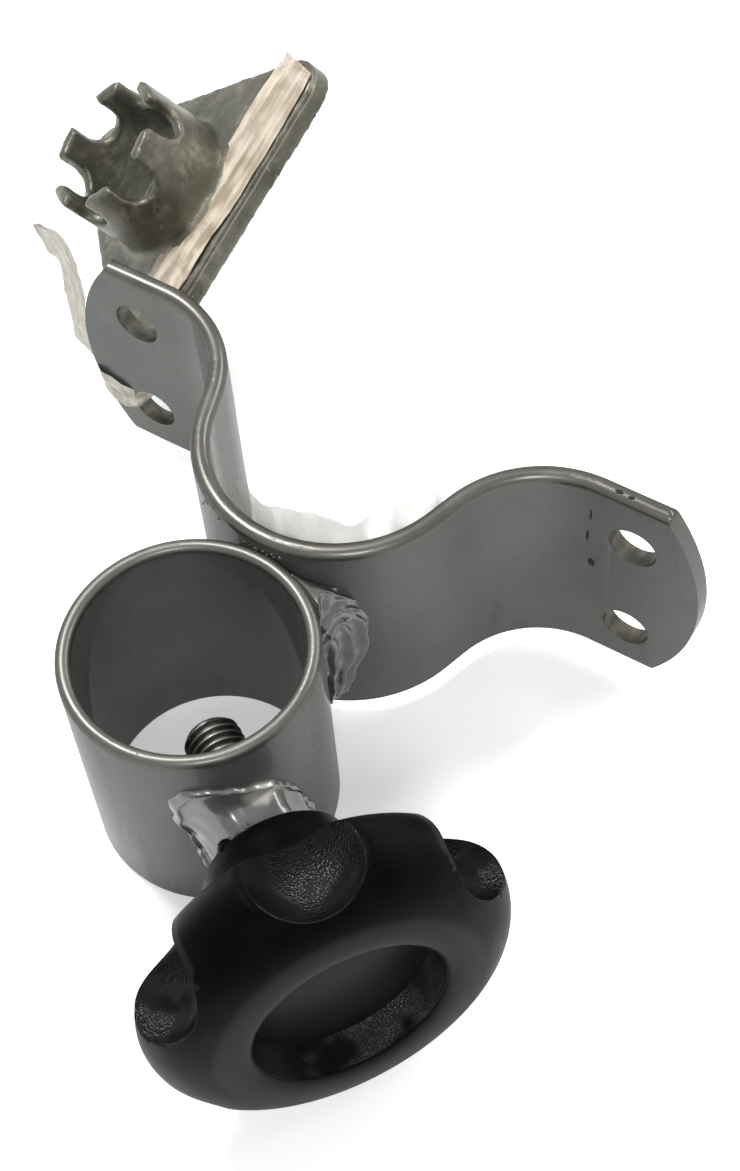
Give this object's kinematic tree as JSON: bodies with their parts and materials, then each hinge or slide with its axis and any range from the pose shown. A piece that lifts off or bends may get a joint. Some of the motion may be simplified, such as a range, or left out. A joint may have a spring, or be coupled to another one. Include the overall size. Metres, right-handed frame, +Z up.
{
  "type": "rod holder",
  "caption": "Clamp-on fishing rod holder: welded collar with a lobed clamp knob and screw, an omega strap for a rail, and a crowned cast socket.",
  "frame": {"origin": "on the axis of the rail that the saddle fits, half way up the strap", "axes": "+Z up the rail and collar axes, +Y from the collar toward the rail, +X along the wings"},
  "size_m": [0.1963, 0.21, 0.0701],
  "materials": {
    "bracket_paint": "satin metallic silver-grey paint",
    "weld_bead": "painted over rippled weld, shiny",
    "nut_steel": "weld-splashed steel",
    "screw_steel": "dark oiled steel thread",
    "knob_plastic": "moulded black, satin lobes and pebbled hollows",
    "cap_plastic": "plain satin black disc",
    "cast_metal": "dull as-cast grey with a brown cast"
  },
  "bodies": {
    "bracket": {"collar_tube": "bracket_paint", "saddle_strap": "bracket_paint", "collar_weld_right": "weld_bead", "collar_weld_left": "weld_bead", "clamp_nut": "nut_steel", "nut_weld": "weld_bead", "cast_socket": "cast_metal"},
    "cap": {"knob_cap": "cap_plastic"},
    "knob": {"knob_head": "knob_plastic", "clamp_screw": "screw_steel"}
  },
  "joints": [
    {"name": "screw_travel", "type": "slide", "parent": "bracket", "child": "cap", "axis": [-0.8234, 0.5575, -0.1063], "range_m": [-0.0145, 0.0012]},
    {"name": "knob_turn", "type": "hinge", "parent": "cap", "child": "knob", "pos_m": [0, -0.0553, -0.00495], "axis": [-0.8234, 0.5575, -0.1063], "range_deg": [-2880, 180]}
  ],
  "couplings": [
    {"joint": "screw_travel", "follows": "knob_turn", "m_per_rad": 0.00027852}
  ]
}
